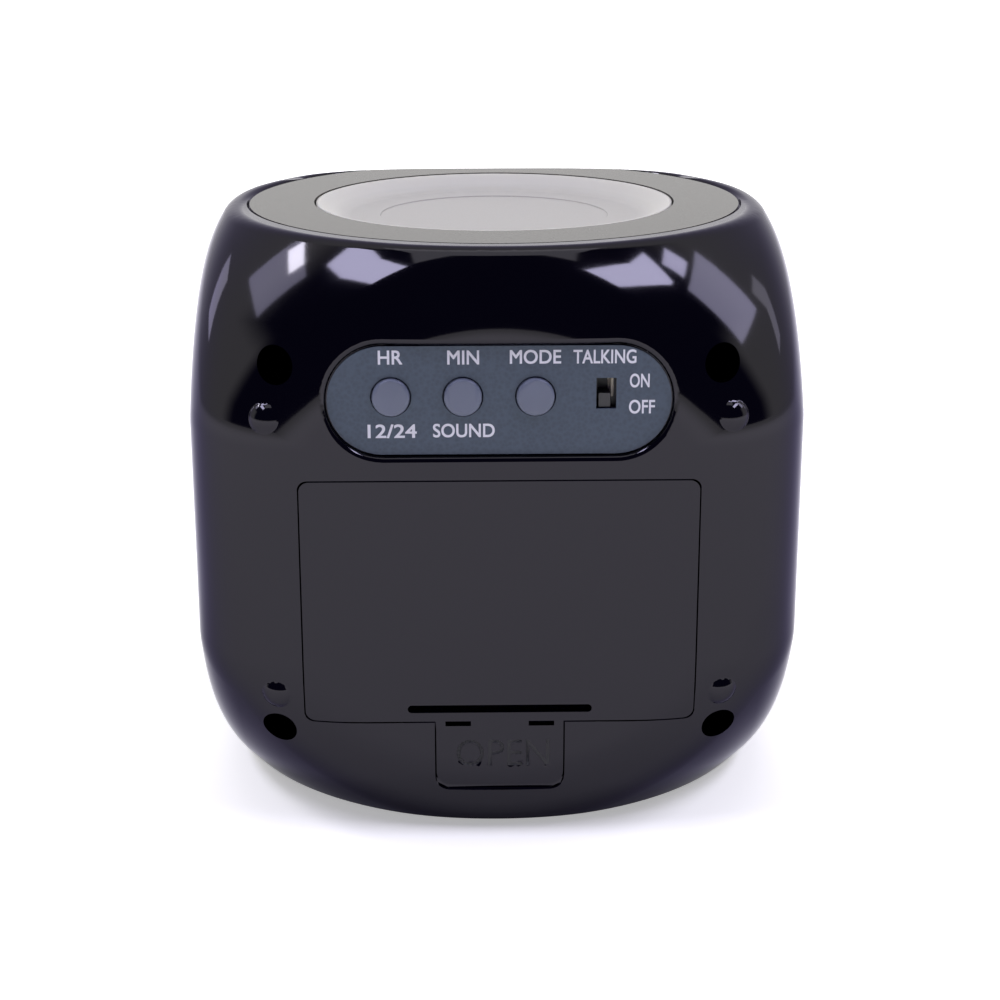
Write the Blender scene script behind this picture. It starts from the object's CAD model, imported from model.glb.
"""Finishes, legends, display and studio for the talking clock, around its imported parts.

Everything is in metres in the parts' own frame: +Z up, +Y out of the rear, X across.
"""

import math

import bmesh
import bpy
import numpy as np
from bpy.props import FloatProperty, FloatVectorProperty, PointerProperty, StringProperty
from mathutils import Matrix, Vector
from mathutils.geometry import delaunay_2d_cdt


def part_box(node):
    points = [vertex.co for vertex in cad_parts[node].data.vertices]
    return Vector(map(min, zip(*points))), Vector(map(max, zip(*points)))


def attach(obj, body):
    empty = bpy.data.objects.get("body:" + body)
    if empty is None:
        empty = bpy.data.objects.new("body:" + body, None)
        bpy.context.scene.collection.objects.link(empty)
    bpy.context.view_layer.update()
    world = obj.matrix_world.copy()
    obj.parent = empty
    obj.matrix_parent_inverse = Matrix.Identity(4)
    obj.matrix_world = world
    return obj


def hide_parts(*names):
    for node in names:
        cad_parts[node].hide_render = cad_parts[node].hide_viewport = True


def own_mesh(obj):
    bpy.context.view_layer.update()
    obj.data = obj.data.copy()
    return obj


bl_info = {
    "name": "Talking Clock",
    "version": (1, 0, 0),
    "blender": (4, 5, 0),
    "location": "View3D > Sidebar > Talking Clock",
    "description": "Finishes, legends, display and studio for a talking desk clock",
    "category": "Object",
}

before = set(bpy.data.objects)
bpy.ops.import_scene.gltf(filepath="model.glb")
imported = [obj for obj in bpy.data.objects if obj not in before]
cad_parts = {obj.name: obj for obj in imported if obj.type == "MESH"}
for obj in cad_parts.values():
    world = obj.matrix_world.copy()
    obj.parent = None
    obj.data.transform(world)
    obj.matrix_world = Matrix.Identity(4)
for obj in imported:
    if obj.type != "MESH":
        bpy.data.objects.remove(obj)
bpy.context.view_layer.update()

MM = 0.001

# The case form: a leaning slab within a ball, with every edge rolled
ROUND_RADIUS = 17 * MM
HALF_WIDTH = 42 * MM
HALF_DEPTH = 43 * MM
FACE_DISTANCE = 38.418 * MM
LEAN = math.radians(8.5)
BALL_HEIGHT = 40.5 * MM
BALL_RADIUS = 56 * MM

# How far up the leaning face the display's middle is, and how far behind it the glass
DISPLAY_RISE = 2.5 * MM
GLASS_DEPTH = 2.5 * MM

# Shading: points this near are one, or are on the form; what stays sharp; the flats' weight
MERGE_DISTANCE = 0.002 * MM
ON_FORM = 0.004 * MM
SHARP_ANGLE = math.radians(32)
FLAT_WEIGHT = 50


def case_normals(points):
    """How far points are from the case form's inner core, and their ways out of it."""
    centre = np.array((0, 0, BALL_HEIGHT))
    side = np.where(points[:, :1] < 0, -1.0, 1.0)
    mirror = np.concatenate((side, np.ones_like(side), np.ones_like(side)), axis=1)
    place = (points - centre) * mirror
    planes = np.array(((1, 0, 0), (0, 1, 0), (0, -math.cos(LEAN), math.sin(LEAN))))
    reach = np.array((HALF_WIDTH, HALF_DEPTH, FACE_DISTANCE)) - ROUND_RADIUS
    ball = BALL_RADIUS - ROUND_RADIUS
    best = np.full(len(place), np.inf)
    nearest = place.copy()
    for chosen in ((), (0,), (1,), (2,), (0, 1), (0, 2)):
        foot = np.zeros(3)
        spot = place.copy()
        if chosen:
            ways = planes[list(chosen)]
            solve = np.linalg.inv(ways @ ways.T)
            spot -= (spot @ ways.T - reach[list(chosen)]) @ solve @ ways
            foot = reach[list(chosen)] @ solve @ ways
        away = np.linalg.norm(spot - foot, axis=1)
        limit = math.sqrt(ball ** 2 - foot @ foot)
        share = np.minimum(1, limit / np.maximum(away, MERGE_DISTANCE))
        spot = foot + (spot - foot) * share[:, None]
        inside = (spot @ planes.T <= reach + MERGE_DISTANCE).all(axis=1)
        gap = np.where(inside, np.linalg.norm(place - spot, axis=1), np.inf)
        closer = gap < best
        best[closer] = gap[closer]
        nearest[closer] = spot[closer]
    out = (place - nearest) * mirror
    length = np.linalg.norm(out, axis=1)
    return length, out / np.maximum(length, MERGE_DISTANCE)[:, None]


# Meshes

def finished(name, bm, body, slot, *materials):
    """A new object from a bmesh, riding on a body."""
    mesh = bpy.data.meshes.new(name)
    bm.to_mesh(mesh)
    bm.free()
    for material in materials:
        mesh.materials.append(material)
    piece = bpy.data.objects.new(name, mesh)
    bpy.context.scene.collection.objects.link(piece)
    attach(piece, body)
    return piece


def smoothed(piece):
    """Shade a piece smooth up to the sharp angle, its flats kept flat by weighting."""
    piece.data.shade_smooth()
    piece.data.set_sharp_from_angle(angle=SHARP_ANGLE)
    weigh = piece.modifiers.new("flats", "WEIGHTED_NORMAL")
    weigh.mode = "FACE_AREA"
    weigh.weight = FLAT_WEIGHT
    weigh.keep_sharp = True
    with bpy.context.temp_override(object=piece, active_object=piece, selected_objects=[piece]):
        bpy.ops.object.modifier_apply(modifier=weigh.name)


def rolled_shading(piece):
    """Give the faces that lie on the case's form its exact normals."""
    mesh = piece.data
    count = len(mesh.vertices)
    points = np.empty(count * 3)
    mesh.vertices.foreach_get("co", points)
    points = points.reshape(count, 3)
    away, normals = case_normals(points)
    on_form = np.abs(away - ROUND_RADIUS) < ON_FORM
    corners = np.empty(len(mesh.loops) * 3)
    mesh.corner_normals.foreach_get("vector", corners)
    corners = corners.reshape(-1, 3)
    limit = math.cos(SHARP_ANGLE)
    for polygon in mesh.polygons:
        vertices = list(polygon.vertices)
        loops = list(polygon.loop_indices)
        facing = normals[vertices] @ np.array(polygon.normal) > limit
        if on_form[vertices].all() and facing.all():
            corners[loops] = normals[vertices]
        else:
            for loop, vertex, faces_out in zip(loops, vertices, facing):
                if on_form[vertex] and faces_out and corners[loop] @ normals[vertex] > limit:
                    corners[loop] = normals[vertex]
    mesh.normals_split_custom_set([tuple(normal) for normal in corners])


def carve(piece, tool, material):
    """Cut a bmesh out of a piece and leave its faces with a material."""
    mesh = bpy.data.meshes.new("tool")
    tool.to_mesh(mesh)
    tool.free()
    mesh.materials.append(material)
    cutter = bpy.data.objects.new("tool", mesh)
    bpy.context.scene.collection.objects.link(cutter)
    cut = piece.modifiers.new("cut", "BOOLEAN")
    cut.operation = "DIFFERENCE"
    cut.solver = "EXACT"
    cut.material_mode = "TRANSFER"
    cut.object = cutter
    with bpy.context.temp_override(object=piece, active_object=piece, selected_objects=[piece]):
        bpy.ops.object.modifier_apply(modifier=cut.name)
    bpy.data.objects.remove(cutter)
    bpy.data.meshes.remove(mesh)


def polished_copy(node, body, slot, material, on_case=False, cut_out=None, cut_finish=None):
    """A merged, smooth copy of a part's mesh that stands for the part."""
    bm = bmesh.new()
    bm.from_mesh(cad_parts[node].data)
    bmesh.ops.remove_doubles(bm, verts=bm.verts, dist=MERGE_DISTANCE)
    piece = finished(f"{node}_finish", bm, body, slot, material)
    if cut_out:
        carve(piece, cut_out, cut_finish)
    smoothed(piece)
    if on_case:
        rolled_shading(piece)
    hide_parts(node)
    return piece


def paint(material, *nodes):
    """Give parts that keep their own mesh a finish."""
    for node in nodes:
        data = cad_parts[node].data
        data.materials.clear()
        data.materials.append(material)


# Finishes

def new_finish(name, colour, roughness, metallic=0.0):
    """A new material and its shader."""
    material = bpy.data.materials.new(name)
    material.use_nodes = True
    shader = material.node_tree.nodes["Principled BSDF"]
    shader.inputs["Base Color"].default_value = (*colour, 1)
    shader.inputs["Roughness"].default_value = roughness
    shader.inputs["Metallic"].default_value = metallic
    return material, shader


def noise(material, scale, detail=2.0):
    """A noise pattern on the piece's own coordinates; scale is its repeats in a metre."""
    tree = material.node_tree
    place = tree.nodes.new("ShaderNodeTexCoord")
    pattern = tree.nodes.new("ShaderNodeTexNoise")
    pattern.inputs["Scale"].default_value = scale
    pattern.inputs["Detail"].default_value = detail
    tree.links.new(place.outputs["Object"], pattern.inputs["Vector"])
    return pattern.outputs["Fac"]


def maths(tree, operation, *values):
    """The result of a maths node on numbers and other nodes' outputs."""
    node = tree.nodes.new("ShaderNodeMath")
    node.operation = operation
    for socket, value in zip(node.inputs, values):
        if isinstance(value, (int, float)):
            socket.default_value = value
        else:
            tree.links.new(value, socket)
    return node.outputs["Value"]


def smooth_step(tree, value, reach, result=(0, 1)):
    """A value's soft change from one result to the other, over its reach."""
    step = tree.nodes.new("ShaderNodeMapRange")
    step.interpolation_type = "SMOOTHSTEP"
    step.inputs["From Min"].default_value, step.inputs["From Max"].default_value = reach
    step.inputs["To Min"].default_value, step.inputs["To Max"].default_value = result
    tree.links.new(value, step.inputs["Value"])
    return step.outputs["Result"]


def vary_roughness(material, shader, pattern, low, high):
    """Let the roughness follow a pattern between two values."""
    tree = material.node_tree
    spread = tree.nodes.new("ShaderNodeMapRange")
    spread.inputs["To Min"].default_value = low
    spread.inputs["To Max"].default_value = high
    tree.links.new(pattern, spread.inputs["Value"])
    tree.links.new(spread.outputs["Result"], shader.inputs["Roughness"])


def vary_colour(material, shader, pattern, first, second, start=0.35, end=0.65):
    """Let the colour follow a pattern, from the first below start to the second above end."""
    tree = material.node_tree
    ramp = tree.nodes.new("ShaderNodeValToRGB")
    ramp.color_ramp.elements[0].position = start
    ramp.color_ramp.elements[0].color = (*first, 1)
    ramp.color_ramp.elements[1].position = end
    ramp.color_ramp.elements[1].color = (*second, 1)
    tree.links.new(pattern, ramp.inputs["Fac"])
    tree.links.new(ramp.outputs["Color"], shader.inputs["Base Color"])


def roughen(material, shader, pattern, depth, strength=1.0):
    """Raise the surface by a pattern, to a depth in metres."""
    tree = material.node_tree
    bump = tree.nodes.new("ShaderNodeBump")
    bump.inputs["Strength"].default_value = strength
    bump.inputs["Distance"].default_value = depth
    tree.links.new(pattern, bump.inputs["Height"])
    tree.links.new(bump.outputs["Normal"], shader.inputs["Normal"])


def moulded(name, colour, roughness=0.4, grain=2500, depth=0.01 * MM):
    """Fine-grained moulded plastic or rubber."""
    material, shader = new_finish(name, colour, roughness)
    pattern = noise(material, grain)
    vary_roughness(material, shader, pattern, low=roughness - 0.06, high=roughness + 0.06)
    cloud = noise(material, scale=120, detail=1.0)
    darker = tuple(0.93 * part for part in colour)
    vary_colour(material, shader, cloud, darker, colour)
    roughen(material, shader, pattern, depth)
    return material


def piano_black(name, colour):
    """Deep polished black with a barely uneven surface."""
    material, shader = new_finish(name, colour, roughness=0.07, metallic=1.0)
    shader.inputs["Specular Tint"].default_value = (0.55, 0.54, 0.62, 1)
    haze = noise(material, scale=90, detail=3.0)
    vary_roughness(material, shader, haze, low=0.04, high=0.1)
    roughen(material, shader, noise(material, scale=320, detail=1.0), depth=0.004 * MM)
    return material


def satin(name, colour):
    """Dark plastic with a soft sheen and a very fine grain."""
    material, shader = new_finish(name, colour, roughness=0.25)
    grain = noise(material, scale=3600)
    vary_roughness(material, shader, grain, low=0.2, high=0.3)
    roughen(material, shader, grain, depth=0.003 * MM)
    return material


# How far red, green and blue light spread in the dish, and the dish's radius
FROST_GLOW = (2 * MM, 1.8 * MM, 1.6 * MM)
RIM_SPREAD = 26 * MM


def frosted(name, colour, rim):
    """Translucent plastic with a fine frosted surface, paler where its rim thins."""
    material, shader = new_finish(name, colour, roughness=0.42)
    shader.inputs["Subsurface Weight"].default_value = 0.35
    shader.inputs["Subsurface Radius"].default_value = FROST_GLOW
    shader.inputs["Subsurface Scale"].default_value = 1.0
    tree = material.node_tree
    place = tree.nodes.new("ShaderNodeTexCoord")
    flat = tree.nodes.new("ShaderNodeMapping")
    flat.inputs["Scale"].default_value = (1, 1, 0)
    out = tree.nodes.new("ShaderNodeVectorMath")
    out.operation = "LENGTH"
    tree.links.new(place.outputs["Object"], flat.inputs["Vector"])
    tree.links.new(flat.outputs["Vector"], out.inputs[0])
    spread = tree.nodes.new("ShaderNodeMapRange")
    spread.inputs["From Max"].default_value = RIM_SPREAD
    tree.links.new(out.outputs["Value"], spread.inputs["Value"])
    vary_colour(material, shader, spread.outputs["Result"], colour, rim, start=0.8, end=0.9)
    grain = noise(material, scale=5200)
    vary_roughness(material, shader, grain, low=0.36, high=0.5)
    roughen(material, shader, grain, depth=0.006 * MM)
    return material


def leathery(name, colour):
    """A printed plate with a fine pebbled texture."""
    material, shader = new_finish(name, colour, roughness=0.5)
    tree = material.node_tree
    place = tree.nodes.new("ShaderNodeTexCoord")
    cells = tree.nodes.new("ShaderNodeTexVoronoi")
    cells.inputs["Scale"].default_value = 1900
    tree.links.new(place.outputs["Object"], cells.inputs["Vector"])
    pebbles = cells.outputs["Distance"]
    roughen(material, shader, pebbles, depth=0.03 * MM, strength=0.7)
    lighter = tuple(1.25 * part for part in colour)
    vary_colour(material, shader, pebbles, colour, lighter, start=0.2, end=0.8)
    return material


# The middle of the switch's pale strip and its half width and height
STRIPE_PLACE = (-14.5 * MM, 0, 63.4 * MM)
STRIPE_REACH = (("X", 0.32 * MM), ("Z", 1.6 * MM))


def striped(name, colour, stripe):
    """Dark plastic with one pale upright strip near its upper outer corner."""
    material = moulded(name, colour, roughness=0.45)
    tree = material.node_tree
    shader = tree.nodes["Principled BSDF"]
    place = tree.nodes.new("ShaderNodeTexCoord")
    centred = tree.nodes.new("ShaderNodeMapping")
    centred.inputs["Location"].default_value = -Vector(STRIPE_PLACE)
    split = tree.nodes.new("ShaderNodeSeparateXYZ")
    tree.links.new(place.outputs["Object"], centred.inputs["Vector"])
    tree.links.new(centred.outputs["Vector"], split.inputs["Vector"])
    inside = [
        maths(tree, "COMPARE", split.outputs[axis], 0, reach) for axis, reach in STRIPE_REACH
    ]
    both = maths(tree, "MULTIPLY", *inside)
    vary_colour(material, shader, both, colour, stripe, start=0.4, end=0.6)
    return material


def metal(name, colour, roughness=0.3):
    """Plain metal with a barely uneven sheen."""
    material, shader = new_finish(name, colour, roughness, metallic=1.0)
    pattern = noise(material, scale=1500)
    vary_roughness(material, shader, pattern, low=roughness - 0.08, high=roughness + 0.1)
    roughen(material, shader, pattern, depth=0.003 * MM)
    return material


def clear(name, colour, roughness=0.04):
    """Tinted clear plastic or glass."""
    material, shader = new_finish(name, colour, roughness)
    shader.inputs["Transmission Weight"].default_value = 1.0
    shader.inputs["IOR"].default_value = 1.49
    haze = noise(material, scale=200, detail=1.0)
    vary_roughness(material, shader, haze, low=roughness, high=roughness + 0.03)
    return material


def circuit(name, colour, copper):
    """A board with tracks under its lacquer."""
    material, shader = new_finish(name, colour, roughness=0.35)
    tree = material.node_tree
    place = tree.nodes.new("ShaderNodeTexCoord")
    tracks = tree.nodes.new("ShaderNodeTexBrick")
    tracks.inputs["Scale"].default_value = 260
    tracks.inputs["Mortar Size"].default_value = 0.06
    tracks.inputs["Color1"].default_value = (*colour, 1)
    tracks.inputs["Color2"].default_value = (*(0.9 * part for part in colour), 1)
    tracks.inputs["Mortar"].default_value = (*copper, 1)
    turn = tree.nodes.new("ShaderNodeMapping")
    turn.inputs["Rotation"].default_value = (math.radians(70), 0, 0)
    tree.links.new(place.outputs["Object"], turn.inputs["Vector"])
    tree.links.new(turn.outputs["Vector"], tracks.inputs["Vector"])
    tree.links.new(tracks.outputs["Color"], shader.inputs["Base Color"])
    roughen(material, shader, tracks.outputs["Fac"], depth=0.02 * MM)
    return material


# Half a cell's length, and the shares of it where the band and the bare metal start
HALF_CELL = 25 * MM
BAND_START = 0.55
BARE_START = 0.86


def jacket(name, colour, band):
    """A cell's printed jacket with a plain band at each end and bare metal beyond."""
    material, shader = new_finish(name, colour, roughness=0.28)
    tree = material.node_tree
    place = tree.nodes.new("ShaderNodeTexCoord")
    split = tree.nodes.new("ShaderNodeSeparateXYZ")
    tree.links.new(place.outputs["Object"], split.inputs["Vector"])
    across = maths(tree, "ABSOLUTE", split.outputs["X"])
    ramp = tree.nodes.new("ShaderNodeValToRGB")
    ramp.color_ramp.interpolation = "CONSTANT"
    ramp.color_ramp.elements[0].color = (*colour, 1)
    ramp.color_ramp.elements[1].position = BAND_START
    ramp.color_ramp.elements[1].color = (*band, 1)
    bare = ramp.color_ramp.elements.new(BARE_START)
    bare.color = (0.6, 0.6, 0.58, 1)
    spread = tree.nodes.new("ShaderNodeMapRange")
    spread.inputs["From Max"].default_value = HALF_CELL
    tree.links.new(across, spread.inputs["Value"])
    tree.links.new(spread.outputs["Result"], ramp.inputs["Fac"])
    tree.links.new(ramp.outputs["Color"], shader.inputs["Base Color"])
    vary_roughness(material, shader, noise(material, scale=900), low=0.22, high=0.34)
    return material


# Lettering and display segments

# In the font's own units, in which a capital is about 0.7 high
BOLD_SPREAD = 0.015
LETTER_JOIN = 0.00001
CURVE_STEPS = 5

# The triangulation's output type that gives every triangle between the points
ALL_TRIANGLES = 0

# Faces that turn less than this are one flat
LEVEL_ANGLE = 0.01

# From a drawing's plane to the rear: its right to -X, its up to +Z, its front to +Y
REAR_WAY = Matrix(((-1, 0, 0, 0), (0, 0, 1, 0), (0, 1, 0, 0), (0, 0, 0, 1)))

# Each legend with its centre in X and Z and its width, in millimetres
LEGENDS = (
    ("HR", 14.0, 67.54, 3.14), ("MIN", 4.63, 67.5, 4.1), ("MODE", -4.64, 67.54, 6.6),
    ("TALKING", -13.55, 67.53, 8.1), ("ON", -18.08, 64.33, 2.56), ("OFF", -18.43, 60.85, 3.36),
    ("12/24", 13.88, 57.75, 6.36), ("SOUND", 4.6, 57.8, 8.0),
)
TAB_WORD_PLACE = (-0.42 * MM, HALF_DEPTH, 12.63 * MM)
TAB_WORD_WIDTH = 12.6 * MM


def covered(points, triangles):
    """Which of the points lie in any of the anticlockwise triangles."""
    inside = np.ones((len(triangles), len(points)), bool)
    for start, end in ((0, 1), (1, 2), (2, 0)):
        side = triangles[:, None, end] - triangles[:, None, start]
        away = points[None] - triangles[:, None, start]
        inside &= side[..., 0] * away[..., 1] >= side[..., 1] * away[..., 0]
    return inside.any(axis=0)


def thickened(mesh, spread):
    """A flat sheet of letters whose strokes are widened by a spread to each side."""
    places = [vertex.co.xy for vertex in mesh.vertices]
    corners = np.array([[places[index] for index in face.vertices] for face in mesh.polygons])
    shifts = [(right, up) for right in (-spread, spread) for up in (-spread, spread)]
    triangles = np.concatenate([corners + shift for shift in shifts])
    spots = [Vector(spot) for spot in triangles.reshape(-1, 2)]
    rings = np.arange(len(spots)).reshape(-1, 3).tolist()
    merged = delaunay_2d_cdt(spots, [], rings, ALL_TRIANGLES, LETTER_JOIN, False)
    spots, faces = merged[0], merged[2]
    centres = np.array(spots)[np.array(faces)].mean(axis=1)
    bm = bmesh.new()
    verts = [bm.verts.new((*spot, 0)) for spot in spots]
    for face, kept in zip(faces, covered(centres, triangles)):
        if kept:
            bm.faces.new([verts[index] for index in face])
    loose = [vert for vert in bm.verts if not vert.link_faces]
    bmesh.ops.delete(bm, geom=loose, context="VERTS")
    bmesh.ops.dissolve_limit(bm, angle_limit=LEVEL_ANGLE, verts=bm.verts, edges=bm.edges)
    bmesh.ops.triangulate(bm, faces=bm.faces)
    return bm


def lettering(text, centre, width, cap_height, depth, spread=0):
    """Plain letters as a solid of a given width, centred on a place, facing the rear."""
    curve = bpy.data.curves.new("lettering", "FONT")
    curve.body = text
    curve.fill_mode = "FRONT"
    curve.resolution_u = CURVE_STEPS
    source = bpy.data.objects.new("lettering", curve)
    mesh = bpy.data.meshes.new_from_object(source)
    bpy.data.objects.remove(source)
    bm = thickened(mesh, spread)
    bpy.data.meshes.remove(mesh)
    raised = bmesh.ops.extrude_face_region(bm, geom=list(bm.faces), use_keep_orig=True)
    raised = [item for item in raised["geom"] if isinstance(item, bmesh.types.BMVert)]
    bmesh.ops.translate(bm, verts=raised, vec=(0, 0, depth))
    bmesh.ops.recalc_face_normals(bm, faces=bm.faces)
    across = [vertex.co.x for vertex in bm.verts]
    up = [vertex.co.y for vertex in bm.verts]
    middle = Vector(((min(across) + max(across)) / 2, (min(up) + max(up)) / 2, depth / 2))
    bmesh.ops.translate(bm, verts=bm.verts, vec=-middle)
    stretch = (width / (max(across) - min(across)), cap_height / (max(up) - min(up)), 1)
    bmesh.ops.scale(bm, verts=bm.verts, vec=stretch)
    bmesh.ops.transform(bm, verts=bm.verts, matrix=Matrix.Translation(centre) @ REAR_WAY)
    return bm


def tab_letters():
    """The solid that sinks a word into the battery door's latch tab."""
    size = sizes()
    depth = 2 * size.tab_letter_depth
    place = Vector(TAB_WORD_PLACE)
    return lettering("OPEN", place, TAB_WORD_WIDTH, size.tab_letter_height, depth)


def join(target, part):
    """Move one bmesh into another."""
    mesh = bpy.data.meshes.new("joining")
    part.to_mesh(mesh)
    part.free()
    target.from_mesh(mesh)
    bpy.data.meshes.remove(mesh)


# Room between digits, and more of it for the colon
DIGIT_GAP = 3.4 * MM
COLON_GAP = 3 * MM

# Shares: the colon's rise of a digit's height, its length and the bars' gap of a bar's width
COLON_RISE = 0.2
COLON_STRETCH = 1.3
BAR_GAP = 0.12

# How far a digit leans for its height, and how thick its bars are
DIGIT_SLANT = 0.08
SEGMENT_DEPTH = 0.05 * MM


def segment(bm, centre, length, width, upright=False):
    """One bar of a digit, pointed at both ends."""
    half = length / 2
    point = width / 2
    outline = (
        (-half, 0), (point - half, point), (half - point, point),
        (half, 0), (half - point, -point), (point - half, -point),
    )
    corners = []
    for along, across in outline:
        if upright:
            along, across = across, along
        x = centre[0] + along
        y = centre[1] + across
        corners.append(bm.verts.new((x + DIGIT_SLANT * y, y, 0)))
    face = bm.faces.new(corners)
    face.normal_update()
    if face.normal.z < 0:
        face.normal_flip()
    grown = bmesh.ops.extrude_face_region(bm, geom=[face])
    raised = [item for item in grown["geom"] if isinstance(item, bmesh.types.BMVert)]
    bmesh.ops.translate(bm, verts=raised, vec=(0, 0, SEGMENT_DEPTH))
    bmesh.ops.recalc_face_normals(bm, faces=bm.faces)


# Which bars each digit lights
LIT = {
    "0": "abcdef", "1": "bc", "2": "abged", "3": "abgcd", "4": "fgbc",
    "5": "afgcd", "6": "afgedc", "7": "abc", "8": "abcdefg", "9": "abcdfg",
}


def digit(bm, character, left, low, width, height, bar):
    """A seven-segment digit from its lower left corner."""
    gap = bar * BAR_GAP
    long = height / 2 - gap
    spots = {
        "a": ((left + width / 2, low + height), False),
        "g": ((left + width / 2, low + height / 2), False),
        "d": ((left + width / 2, low), False),
        "f": ((left, low + 0.75 * height), True),
        "b": ((left + width, low + 0.75 * height), True),
        "e": ((left, low + 0.25 * height), True),
        "c": ((left + width, low + 0.25 * height), True),
    }
    for key in LIT[character]:
        centre, upright = spots[key]
        length = long if upright else width - gap
        segment(bm, centre, length, bar, upright)


def face_way(depth):
    """From a drawing's plane to the leaning display, at a depth behind its outer face."""
    face_y = -FACE_DISTANCE * math.cos(LEAN) + DISPLAY_RISE * math.sin(LEAN)
    face_z = BALL_HEIGHT + FACE_DISTANCE * math.sin(LEAN) + DISPLAY_RISE * math.cos(LEAN)
    upright = Matrix.Rotation(math.radians(90), 4, "X")
    lean = Matrix.Rotation(-LEAN, 4, "X")
    face = Matrix.Translation((0, face_y, face_z)) @ lean
    return face @ Matrix.Translation((0, depth, 0)) @ upright


# Settings that a user would change

class ClockSizes(bpy.types.PropertyGroup):
    """Sizes of what is printed and shown"""

    legend_height: FloatProperty(
        name="Legend height", description="Height of the capitals beside the keys",
        default=1.85 * MM, unit="LENGTH",
    )
    tab_letter_height: FloatProperty(
        name="Tab letter height", description="Height of the letters sunk into the latch tab",
        default=3.9 * MM, unit="LENGTH",
    )
    tab_letter_depth: FloatProperty(
        name="Tab letter depth", description="Depth of the letters sunk into the latch tab",
        default=0.05 * MM, unit="LENGTH",
    )
    print_depth: FloatProperty(
        name="Ink depth", description="Thickness of the printed ink",
        default=0.03 * MM, unit="LENGTH",
    )
    digit_height: FloatProperty(
        name="Digit height", description="Height of the display's digits",
        default=15 * MM, unit="LENGTH",
    )
    digit_width: FloatProperty(
        name="Digit width", description="Width of the display's digits between their bars",
        default=6.4 * MM, unit="LENGTH",
    )
    bar_width: FloatProperty(
        name="Bar width", description="Width of a digit's bars",
        default=1.5 * MM, unit="LENGTH",
    )
    time_shown: StringProperty(
        name="Time", description="Time on the display, as four digits", default="1008",
    )


class ClockColours(bpy.types.PropertyGroup):
    """Colours of the clock's finishes"""

    case: FloatVectorProperty(
        name="Case", description="The polished case", subtype="COLOR",
        default=(0.029, 0.028, 0.032),
    )
    cover: FloatVectorProperty(
        name="Top plate", description="The ring around the talk button", subtype="COLOR",
        default=(0.036, 0.032, 0.03),
    )
    frost: FloatVectorProperty(
        name="Talk button", description="The frosted dish", subtype="COLOR",
        default=(0.31, 0.3, 0.27),
    )
    frost_rim: FloatVectorProperty(
        name="Talk button rim", description="The frosted dish's sloping rim", subtype="COLOR",
        default=(0.44, 0.43, 0.38),
    )
    label: FloatVectorProperty(
        name="Label", description="The plate behind the keys", subtype="COLOR",
        default=(0.045, 0.064, 0.09),
    )
    key: FloatVectorProperty(
        name="Keys", description="The three setting keys", subtype="COLOR",
        default=(0.14, 0.16, 0.215),
    )
    ink: FloatVectorProperty(
        name="Ink", description="The printed legends", subtype="COLOR",
        default=(0.8, 0.8, 0.84),
    )


def sizes():
    """The scene's size settings."""
    return bpy.context.scene.clock_sizes


def colours():
    """The scene's colour settings."""
    return bpy.context.scene.clock_colours


class CLOCK_OT_case(bpy.types.Operator):
    """Polish the case, its front and its battery door, with a word sunk into the latch tab"""

    bl_idname = "clock.case"
    bl_label = "Case"
    bl_options = {"REGISTER", "UNDO"}

    def execute(self, context):
        black = piano_black("polished_case", colours().case)
        polished_copy("rear_housing", "clock_body", "case_black", black, True)
        polished_copy("front_bezel", "clock_body", "case_black", black, True)
        sunk = moulded("sunk_letters", (0.012, 0.012, 0.013), 0.6)
        polished_copy(
            "battery_door", "battery_door", "case_black", black, True, tab_letters(), sunk,
        )
        return {"FINISHED"}


class CLOCK_OT_top(bpy.types.Operator):
    """Finish the top plate and the frosted talk button"""

    bl_idname = "clock.top"
    bl_label = "Top"
    bl_options = {"REGISTER", "UNDO"}

    def execute(self, context):
        cover = satin("satin_cover", colours().cover)
        polished_copy("top_cover", "clock_body", "cover_grey", cover, True)
        frost = frosted("frosted_dish", colours().frost, colours().frost_rim)
        polished_copy("talk_button", "talk_button", "button_frost", frost)
        return {"FINISHED"}


class CLOCK_OT_controls(bpy.types.Operator):
    """Finish the control label, the keys and the voice switch"""

    bl_idname = "clock.controls"
    bl_label = "Controls"
    bl_options = {"REGISTER", "UNDO"}

    def execute(self, context):
        plate = leathery("pebbled_label", colours().label)
        paint(plate, "control_label")
        key = moulded("key_plastic", colours().key, 0.42)
        for name in ("hour_button", "minute_button", "mode_button"):
            polished_copy(name, name, "key_grey", key)
        switch = striped("switch_plastic", (0.008, 0.008, 0.008), (0.66, 0.6, 0.46))
        paint(switch, "slide_switch")
        paint(moulded("knob_plastic", (0.02, 0.02, 0.021), 0.35), "slide_knob")
        return {"FINISHED"}


class CLOCK_OT_legends(bpy.types.Operator):
    """Print plain legends beside the keys and the switch"""

    bl_idname = "clock.legends"
    bl_label = "Legends"
    bl_options = {"REGISTER", "UNDO"}

    def execute(self, context):
        size = sizes()
        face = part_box("control_label")[1][1] + size.print_depth / 2
        ink = moulded("legend_ink", colours().ink, 0.5)
        printed = bmesh.new()
        for text, across, up, width in LEGENDS:
            spot = Vector((across * MM, face, up * MM))
            join(printed, lettering(
                text, spot, width * MM, size.legend_height, size.print_depth, BOLD_SPREAD
            ))
        finished("control_legends", printed, "clock_body", "inner_white", ink)
        return {"FINISHED"}


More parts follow.
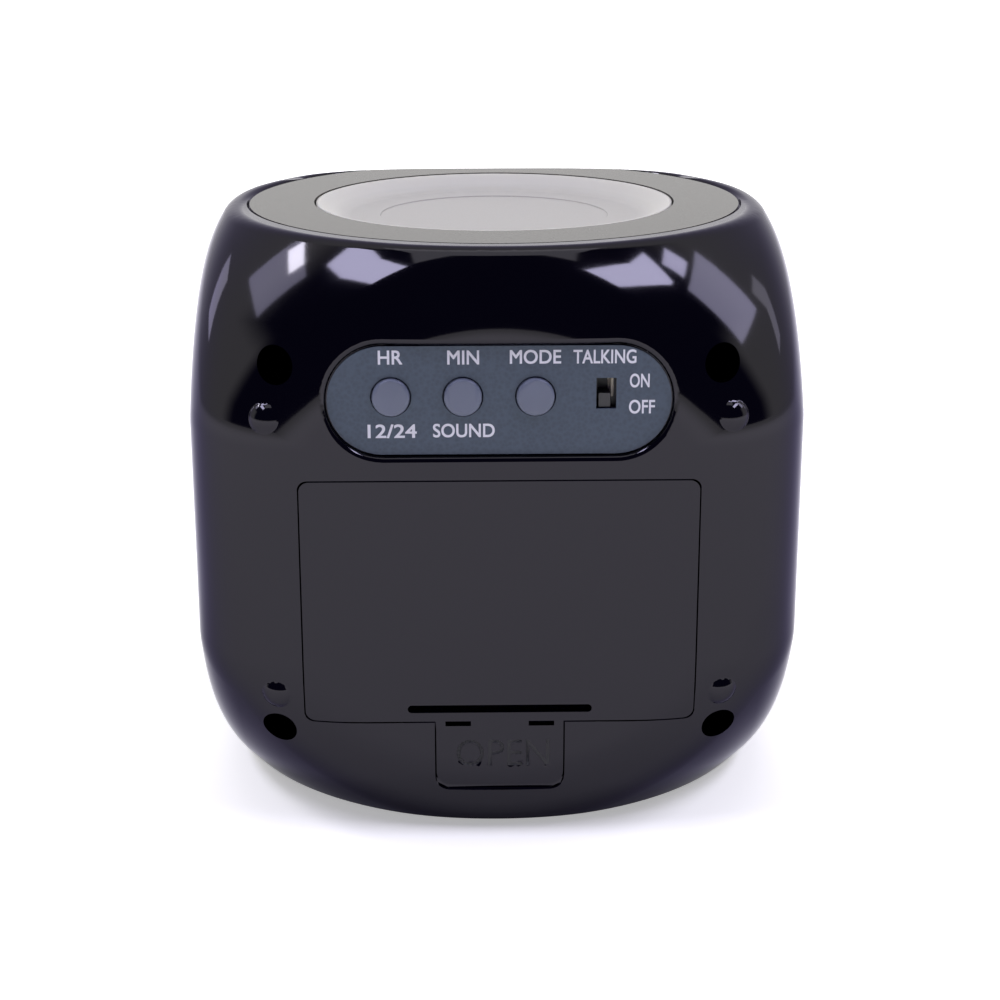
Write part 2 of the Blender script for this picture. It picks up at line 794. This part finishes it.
class CLOCK_OT_display(bpy.types.Operator):
    """Show the time behind the smoked lens"""

    bl_idname = "clock.display"
    bl_label = "Display"
    bl_options = {"REGISTER", "UNDO"}

    def execute(self, context):
        size = sizes()
        smoke = clear("smoked_lens", (0.52, 0.53, 0.55))
        polished_copy("display_lens", "clock_body", "lens_smoke", smoke)
        glass = moulded("display_glass", (0.42, 0.47, 0.37), 0.25, grain=800)
        paint(glass, "lcd_panel")
        pitch = size.digit_width + DIGIT_GAP
        middle = -size.digit_width / 2
        left = middle - (3 * pitch + COLON_GAP + size.digit_width) / 2
        low = -size.digit_height / 2
        bm = bmesh.new()
        for index, character in enumerate(size.time_shown):
            start = left + index * pitch + (COLON_GAP if index > 1 else 0)
            digit(
                bm, character, start, low, size.digit_width, size.digit_height, size.bar_width,
            )
        for up in (-COLON_RISE, COLON_RISE):
            spot = (middle, up * size.digit_height)
            segment(bm, spot, size.bar_width * COLON_STRETCH, size.bar_width)
        way = face_way(GLASS_DEPTH - SEGMENT_DEPTH / 2)
        bmesh.ops.transform(bm, verts=bm.verts, matrix=way)
        black = moulded("digit_black", (0.01, 0.012, 0.012), 0.35)
        finished("display_digits", bm, "clock_body", "part_black", black)
        return {"FINISHED"}


class CLOCK_OT_inside(bpy.types.Operator):
    """Finish what the case holds"""

    bl_idname = "clock.inside"
    bl_label = "Inside"
    bl_options = {"REGISTER", "UNDO"}

    def execute(self, context):
        board = circuit("circuit_board", (0.02, 0.13, 0.06), (0.08, 0.28, 0.12))
        paint(board, "main_board", "top_board", "key_board")
        dark = moulded("dark_parts", (0.015, 0.015, 0.016), 0.4)
        paint(dark, "talk_switch", "hour_switch", "minute_switch", "mode_switch", "speech_chip")
        paint(moulded("capacitor_sleeve", (0.02, 0.03, 0.08), 0.3), "capacitors")
        white = moulded("white_plastic", (0.7, 0.68, 0.6), 0.45)
        paint(white, "lcd_carrier", "talk_plunger")
        paint(white, "hour_plunger", "minute_plunger", "mode_plunger")
        paint(clear("light_guide", (0.9, 0.93, 0.95), 0.1), "light_guide")
        paint(moulded("striped_rubber", (0.3, 0.3, 0.31), 0.6, grain=900), "contact_strip")
        paint(moulded("lamp_resin", (0.8, 0.76, 0.6), 0.15), "talk_lamps", "display_lamps")
        steel = metal("zinc_screws", (0.55, 0.55, 0.56), 0.3)
        paint(steel, "cover_screws", "top_board_screws")
        paint(steel, "main_board_screws", "key_board_screws")
        paint(metal("black_screws", (0.06, 0.06, 0.06), 0.35), "case_screws")
        spring = metal("spring_wire", (0.62, 0.61, 0.6), 0.25)
        polished_copy("battery_springs", "clock_body", "spring_steel", spring)
        coils = polished_copy("talk_button_springs", "clock_body", "spring_steel", spring)
        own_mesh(coils)
        paint(metal("nickel_plate", (0.68, 0.65, 0.58), 0.25), "battery_contacts", "crystal")
        cells = jacket("cell_jacket", (0.02, 0.05, 0.16), (0.5, 0.33, 0.1))
        paint(cells, "upper_cell", "middle_cell", "lower_cell")
        paint(metal("speaker_steel", (0.45, 0.45, 0.46), 0.35), "speaker_frame")
        paint(moulded("magnet_ferrite", (0.05, 0.05, 0.055), 0.55, grain=700), "speaker_magnet")
        paper = moulded("cone_paper", (0.03, 0.03, 0.03), 0.8, grain=1400, depth=0.04 * MM)
        paint(paper, "speaker_cone")
        feet = moulded("foot_rubber", (0.02, 0.02, 0.02), 0.7, grain=1800, depth=0.03 * MM)
        polished_copy("rubber_feet", "clock_body", "foot_rubber", feet)
        return {"FINISHED"}


# Studio and camera, fitted to the photograph

# Metres and radians; the focal length and the centre are shares of the picture's width
CAMERA_DISTANCE = 299.03 * MM
CAMERA_HEIGHT = 129.23 * MM
CAMERA_PITCH = 0.3051
CAMERA_YAW = -0.0154
CAMERA_ROLL = -0.0019
FOCAL_SHARE = 2.0573
CENTRE_SHARE = 0.4945

# In millimetres and metres
CAMERA_SENSOR = 36
CAMERA_NEAR = 0.01

# The floor's own light, dimmer near the clock so that its shadow shows
FLOOR_REACH = 8
GLOW_REACH = (0.1, 0.5)
GLOW_STRENGTH = (0.4, 1.0)
MIRRORED_GLOW = 0.6

# The sky's pale part, by the upward and rearward shares of a direction
BACKDROP_TOP = (0.55, 0.42)
BACKDROP_SIDE = (0.25, -0.05)
BACKDROP_WALL = (-0.05, -0.3)
DIM_SKY = (0.045, 0.038, 0.12)
PALE_SKY = (1.0, 0.99, 0.97)

# Name, degrees up, degrees from the rear towards +X, width, height, radiance and colour
LAVENDER = (0.8, 0.79, 1.0)
PLAIN = (1, 1, 1)
LAMPS = (
    ("ceiling", 88, 0, 0.72, 0.72, 1.4, PLAIN),
    ("left_window", 58, 72, 0.5, 0.17, 16, LAVENDER),
    ("right_window", 54, -66, 0.55, 0.17, 16, LAVENDER),
    ("left_gleam", 44, 108, 0.14, 0.07, 26, PLAIN),
    ("right_gleam", 48, -98, 0.1, 0.1, 14, LAVENDER),
    ("left_wall", 39, 106, 0.25, 0.25, 4, LAVENDER),
    ("right_wall", 35, -100, 0.25, 0.3, 6, LAVENDER),
    ("left_strip", 16, 127, 0.14, 0.28, 4, PLAIN),
    ("right_strip", 20, -115, 0.1, 0.28, 2.3, PLAIN),
)


def floor_finish():
    """Pale floor that camera and mirror rays see near white, with the object's shadow."""
    material = bpy.data.materials.new("pale_floor")
    material.use_nodes = True
    tree = material.node_tree
    tree.nodes.clear()
    output = tree.nodes.new("ShaderNodeOutputMaterial")
    surface = tree.nodes.new("ShaderNodeBsdfDiffuse")
    surface.inputs["Color"].default_value = (0.86, 0.85, 0.8, 1)
    glow = tree.nodes.new("ShaderNodeEmission")
    path = tree.nodes.new("ShaderNodeLightPath")
    place = tree.nodes.new("ShaderNodeTexCoord")
    away = tree.nodes.new("ShaderNodeVectorMath")
    away.operation = "LENGTH"
    both = tree.nodes.new("ShaderNodeAddShader")
    mirrored = maths(
        tree, "MAXIMUM", path.outputs["Is Glossy Ray"], path.outputs["Is Transmission Ray"],
    )
    seen = maths(tree, "MULTIPLY_ADD", mirrored, MIRRORED_GLOW, path.outputs["Is Camera Ray"])
    tree.links.new(place.outputs["Object"], away.inputs[0])
    spread = smooth_step(tree, away.outputs["Value"], GLOW_REACH, GLOW_STRENGTH)
    tree.links.new(maths(tree, "MULTIPLY", seen, spread), glow.inputs["Strength"])
    tree.links.new(surface.outputs["BSDF"], both.inputs[0])
    tree.links.new(glow.outputs["Emission"], both.inputs[1])
    tree.links.new(both.outputs["Shader"], output.inputs["Surface"])
    return material


def room():
    """A dim room with a pale backdrop beyond the front; the camera itself sees only the pale."""
    world = bpy.data.worlds.new("studio")
    world.use_nodes = True
    tree = world.node_tree
    sky = tree.nodes["Background"]
    place = tree.nodes.new("ShaderNodeTexCoord")
    way = tree.nodes.new("ShaderNodeSeparateXYZ")
    path = tree.nodes.new("ShaderNodeLightPath")
    tree.links.new(place.outputs["Generated"], way.inputs["Vector"])
    low = smooth_step(tree, way.outputs["Z"], BACKDROP_TOP)
    ahead = smooth_step(tree, way.outputs["Y"], BACKDROP_SIDE)
    beyond = smooth_step(tree, way.outputs["Y"], BACKDROP_WALL)
    pale = maths(tree, "MAXIMUM", maths(tree, "MULTIPLY", low, ahead), beyond)
    shown = maths(tree, "MAXIMUM", pale, path.outputs["Is Camera Ray"])
    mix = tree.nodes.new("ShaderNodeMix")
    mix.data_type = "RGBA"
    dim = next(item for item in mix.inputs if item.identifier == "A_Color")
    bright = next(item for item in mix.inputs if item.identifier == "B_Color")
    mixed = next(item for item in mix.outputs if item.identifier == "Result_Color")
    dim.default_value = (*DIM_SKY, 1)
    bright.default_value = (*PALE_SKY, 1)
    tree.links.new(shown, mix.inputs["Factor"])
    tree.links.new(mixed, sky.inputs["Color"])
    return world


def softbox(name, elevation, azimuth, width, height, brightness, colour):
    """A soft lamp a metre off, at degrees up and degrees from the rear towards +X."""
    up = math.radians(elevation)
    around = math.radians(azimuth)
    level = math.cos(up)
    way = Vector((level * math.sin(around), level * math.cos(around), math.sin(up)))
    lamp = bpy.data.lights.new(name, "AREA")
    lamp.shape = "RECTANGLE"
    lamp.size = width
    lamp.size_y = height
    lamp.energy = brightness * math.pi * width * height
    lamp.color = colour
    holder = bpy.data.objects.new(name, lamp)
    holder.location = way + Vector((0, 0, BALL_HEIGHT))
    holder.rotation_euler = (-way).to_track_quat("-Z", "Y").to_euler()
    bpy.context.scene.collection.objects.link(holder)


def photo_camera():
    """The camera at the place fitted to the photograph."""
    camera_data = bpy.data.cameras.new("camera")
    camera_data.sensor_width = CAMERA_SENSOR
    camera_data.sensor_fit = "HORIZONTAL"
    camera_data.lens = FOCAL_SHARE * camera_data.sensor_width
    camera_data.shift_x = 0.5 - CENTRE_SHARE
    camera_data.clip_start = CAMERA_NEAR
    camera = bpy.data.objects.new("camera", camera_data)
    turn_cos = math.cos(CAMERA_YAW)
    turn_sin = math.sin(CAMERA_YAW)
    down_cos = math.cos(CAMERA_PITCH)
    down_sin = math.sin(CAMERA_PITCH)
    right = Vector((-turn_cos, -turn_sin, 0))
    up = Vector((turn_sin * down_sin, -turn_cos * down_sin, down_cos))
    back = right.cross(up)
    roll_cos = math.cos(CAMERA_ROLL)
    roll_sin = math.sin(CAMERA_ROLL)
    rolled_right = right * roll_cos + up * roll_sin
    rolled_up = up * roll_cos - right * roll_sin
    place = Vector((-turn_sin * CAMERA_DISTANCE, turn_cos * CAMERA_DISTANCE, CAMERA_HEIGHT))
    camera.matrix_world = Matrix.Translation(place) @ Matrix((
        (rolled_right.x, rolled_up.x, back.x, 0),
        (rolled_right.y, rolled_up.y, back.y, 0),
        (rolled_right.z, rolled_up.z, back.z, 0),
        (0, 0, 0, 1),
    ))
    bpy.context.scene.collection.objects.link(camera)
    return camera


class CLOCK_OT_studio(bpy.types.Operator):
    """Set up the floor, the soft lamps and the camera"""

    bl_idname = "clock.studio"
    bl_label = "Studio"
    bl_options = {"REGISTER", "UNDO"}

    def execute(self, context):
        scene = bpy.context.scene
        bm = bmesh.new()
        bmesh.ops.create_grid(bm, x_segments=1, y_segments=1, size=FLOOR_REACH)
        mesh = bpy.data.meshes.new("floor")
        bm.to_mesh(mesh)
        bm.free()
        mesh.materials.append(floor_finish())
        floor = bpy.data.objects.new("floor", mesh)
        scene.collection.objects.link(floor)

        scene.world = room()
        for lamp in LAMPS:
            softbox(*lamp)

        scene.camera = photo_camera()
        scene.view_settings.view_transform = "Standard"
        return {"FINISHED"}


MAKERS = (
    CLOCK_OT_case, CLOCK_OT_top, CLOCK_OT_controls, CLOCK_OT_legends, CLOCK_OT_display,
    CLOCK_OT_inside, CLOCK_OT_studio,
)


class CLOCK_PT_panel(bpy.types.Panel):
    """The clock's settings and makers"""

    bl_idname = "CLOCK_PT_panel"
    bl_label = "Talking Clock"
    bl_space_type = "VIEW_3D"
    bl_region_type = "UI"
    bl_category = "Talking Clock"

    def draw(self, context):
        column = self.layout.column()
        for group in (context.scene.clock_sizes, context.scene.clock_colours):
            for name in group.bl_rna.properties.keys():
                if name not in ("rna_type", "name"):
                    column.prop(group, name)
        for maker in MAKERS:
            column.operator(maker.bl_idname)


CLASSES = (ClockSizes, ClockColours) + MAKERS + (CLOCK_PT_panel,)


def register():
    for item in CLASSES:
        bpy.utils.register_class(item)
    bpy.types.Scene.clock_sizes = PointerProperty(type=ClockSizes)
    bpy.types.Scene.clock_colours = PointerProperty(type=ClockColours)


def unregister():
    del bpy.types.Scene.clock_colours
    del bpy.types.Scene.clock_sizes
    for item in reversed(CLASSES):
        bpy.utils.unregister_class(item)


def main():
    register()
    bpy.ops.clock.case()
    bpy.ops.clock.top()
    bpy.ops.clock.controls()
    bpy.ops.clock.legends()
    bpy.ops.clock.display()
    bpy.ops.clock.inside()
    bpy.ops.clock.studio()


if __name__ == "__main__":
    main()
